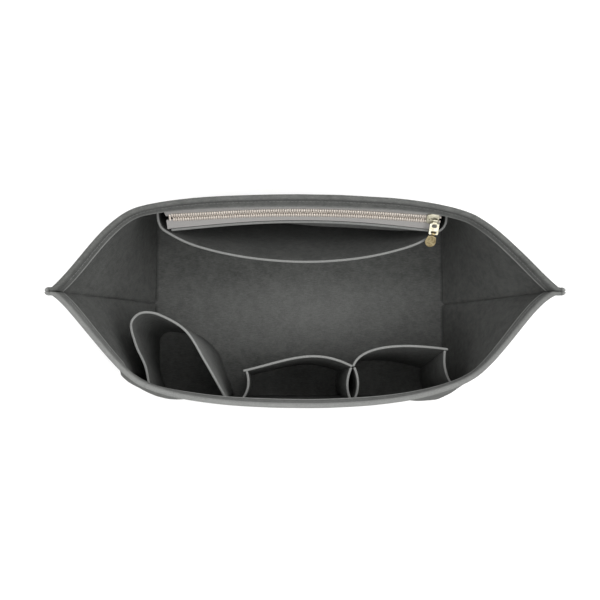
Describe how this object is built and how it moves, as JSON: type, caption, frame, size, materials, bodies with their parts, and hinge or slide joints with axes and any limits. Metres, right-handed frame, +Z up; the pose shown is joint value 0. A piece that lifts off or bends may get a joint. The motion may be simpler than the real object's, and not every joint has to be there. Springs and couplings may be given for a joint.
{
  "type": "purse organizer insert",
  "caption": "Open felt handbag insert with flared sides, a zip pocket and a wide slip pocket on the back wall, and a bottle holder and gusseted pockets on the front wall.",
  "frame": {"origin": "middle of the base's underside", "axes": "+X along the length, +Y towards the back wall with the zip pocket, +Z up"},
  "size_m": [0.4534, 0.1967, 0.1683],
  "materials": {
    "felt": "grey wool-blend felt, matt, with short loose fibres",
    "zip_tape": "woven grey zip tape",
    "zip_teeth": "pale rose-gold plated metal",
    "zip_slider": "pale gold plated metal, polished",
    "zip_pull": "pale gold plated metal, polished"
  },
  "bodies": {
    "organizer": {"base_panel": "felt", "back_panel": "felt", "front_panel": "felt", "back_hem_facing": "felt", "front_hem_facing": "felt", "upper_zip_tape": "zip_tape", "lower_zip_tape": "zip_tape", "zip_pocket_panel": "felt", "upper_zip_teeth": "zip_teeth", "lower_zip_teeth": "zip_teeth", "upper_top_stop": "zip_teeth", "lower_top_stop": "zip_teeth", "bottom_stop": "zip_teeth", "slip_pocket": "felt", "bottle_holder": "felt", "left_pocket_face": "felt", "left_pocket_outer_gusset": "felt", "left_pocket_inner_gusset": "felt", "right_pocket_face": "felt", "right_pocket_outer_gusset": "felt", "right_pocket_inner_gusset": "felt"},
    "zip_slider": {"slider_body": "zip_slider"},
    "zip_link": {"pull_link": "zip_slider"},
    "zip_pull": {"pull_tab": "zip_pull"}
  },
  "joints": [
    {"name": "slider_run", "type": "hinge", "parent": "organizer", "child": "zip_slider", "pos_m": [0, -1.06142, 0.13501], "axis": [0, 0, 1], "range_deg": [0, 11.55], "deforming": ["upper_zip_teeth", "lower_zip_teeth"]},
    {"name": "link_lift", "type": "hinge", "parent": "zip_slider", "child": "zip_link", "pos_m": [0.11445, 0.06536, 0.13904], "axis": [-0.995, 0.0994, 0], "range_deg": [0, 90]},
    {"name": "tab_swing", "type": "hinge", "parent": "zip_link", "child": "zip_pull", "pos_m": [0.1133, 0.05379, 0.13505], "axis": [-0.995, 0.0994, 0], "range_deg": [0, 55]}
  ]
}
